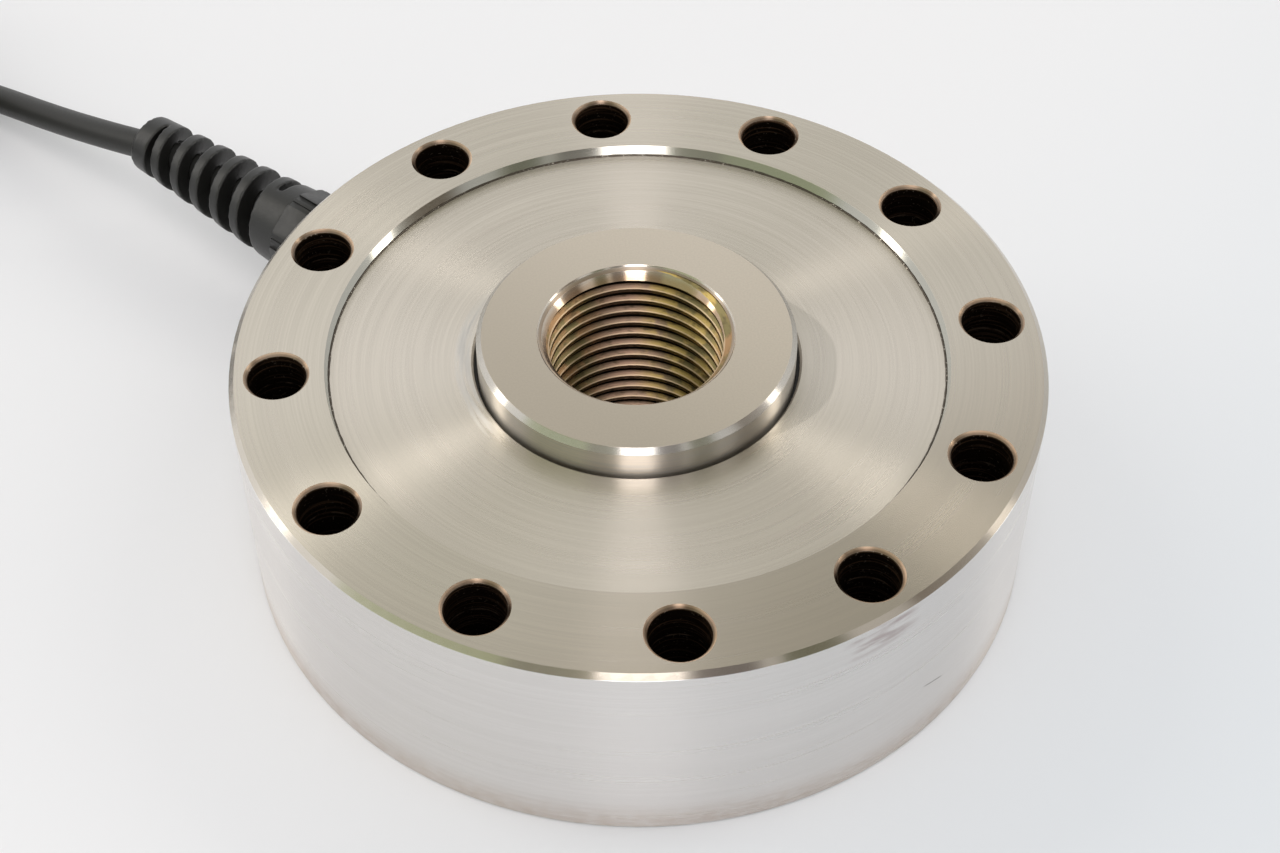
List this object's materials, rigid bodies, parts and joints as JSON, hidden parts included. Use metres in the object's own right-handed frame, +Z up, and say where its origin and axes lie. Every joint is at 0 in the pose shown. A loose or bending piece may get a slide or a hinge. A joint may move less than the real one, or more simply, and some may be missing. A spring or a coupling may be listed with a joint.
{
  "type": "pancake load cell",
  "caption": "Low round force sensor with a bolt ring, a threaded centre hub, welded covers and a side cable gland with a spiral bend protector and cable.",
  "frame": {"origin": "centre of the bolt circle, in the plane of the ring's base", "axes": "+Z up along the centre thread, +X through a bolt hole; the cable gland leaves at 135 degrees from +X"},
  "size_m": [0.3269, 0.2669, 0.049],
  "materials": {
    "turned_steel": "fine turned, satin, with polished chamfers",
    "cover_steel": "fine turned, satin",
    "weld_metal": "rippled laser weld",
    "seal_rubber": "matte",
    "gauge_foil": "polyimide backing",
    "gauge_silicone": "cast silicone",
    "lead_insulation": "plain",
    "circuit_board": "solder mask",
    "resistor_black": "glazed",
    "tinned_copper": "tinned",
    "gland_plastic": "satin moulded polyamide",
    "cable_jacket": "satin extruded jacket",
    "tie_nylon": "natural nylon",
    "sleeve_plastic": "shrunk polyolefin",
    "core_red": "extruded insulation",
    "core_black": "extruded insulation",
    "core_green": "extruded insulation",
    "core_white": "extruded insulation",
    "shield_sleeve": "insulation sleeve over the shield's drain wire"
  },
  "bodies": {
    "root": {"sensor_body": "turned_steel", "top_cover": "cover_steel", "bottom_cover": "cover_steel", "top_cover_weld": "weld_metal", "bottom_cover_weld": "weld_metal", "hub_seal": "seal_rubber", "strain_gauges": "gauge_foil", "gauge_pads": "gauge_silicone", "gauge_leads": "lead_insulation", "terminal_board": "circuit_board", "trimming_resistors": "resistor_black", "terminal_pins": "tinned_copper", "inner_leads": "lead_insulation", "gland_body": "gland_plastic", "gland_gasket": "seal_rubber", "clamping_claw": "gland_plastic", "sealing_bush": "seal_rubber", "gland_nut": "gland_plastic", "cable_in_gland": "cable_jacket", "cable": "cable_jacket", "cable_coil": "cable_jacket", "coil_ties": "tie_nylon", "cable_tail": "cable_jacket", "shrink_sleeve": "sleeve_plastic", "core_red": "core_red", "core_black": "core_black", "core_green": "core_green", "core_white": "core_white", "shield_wire": "shield_sleeve", "tinned_ends": "tinned_copper"}
  },
  "joints": []
}
